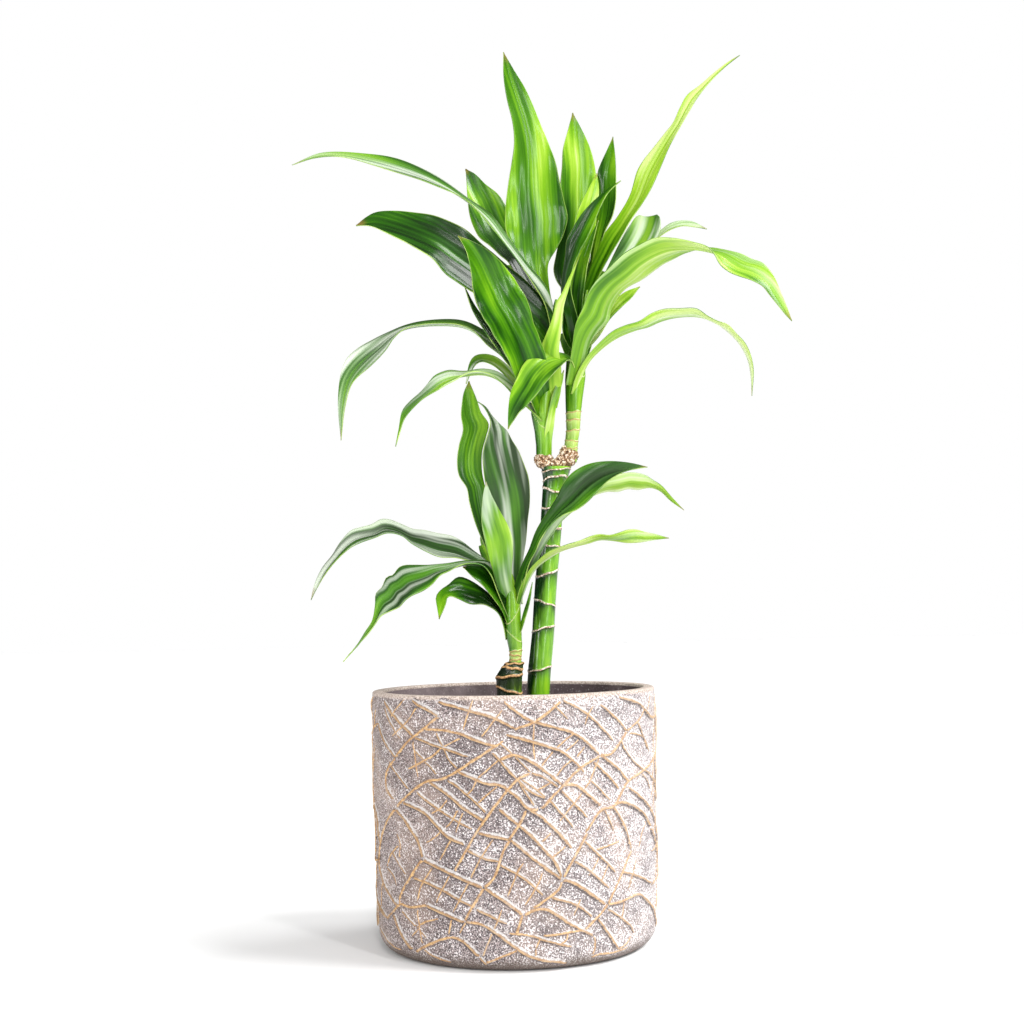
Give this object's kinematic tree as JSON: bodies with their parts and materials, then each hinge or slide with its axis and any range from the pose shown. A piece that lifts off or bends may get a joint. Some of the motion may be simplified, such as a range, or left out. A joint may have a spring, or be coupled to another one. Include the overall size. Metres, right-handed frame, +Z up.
{
  "type": "potted dracaena",
  "caption": "Dracaena on a ringed green cane that forks into leafy crowns, beside a short cut cane with a leafy shoot, in a round cement pot with a raised net of ridges.",
  "frame": {"origin": "centre of the pot's underside", "axes": "+Z up along the pot's axis, -Y towards the front of the picture, +X to its right"},
  "size_m": [0.2838, 0.1682, 0.5135],
  "materials": {
    "cement": "rough, speckled, with sandy ridges",
    "soil": "loose and crumbly",
    "green_cane": "satin green bark with pale rings",
    "callus": "crumbly brown scar tissue",
    "leaf": "glossy leaf",
    "old_cane": "dark green-brown bark",
    "deep_leaf": "glossy leaf"
  },
  "bodies": {
    "root": {"pot": "cement", "soil": "soil", "main_cane": "green_cane", "fork_callus": "callus", "left_crown": "leaf", "right_crown": "leaf", "short_cane": "old_cane", "side_shoot": "deep_leaf"}
  },
  "joints": []
}
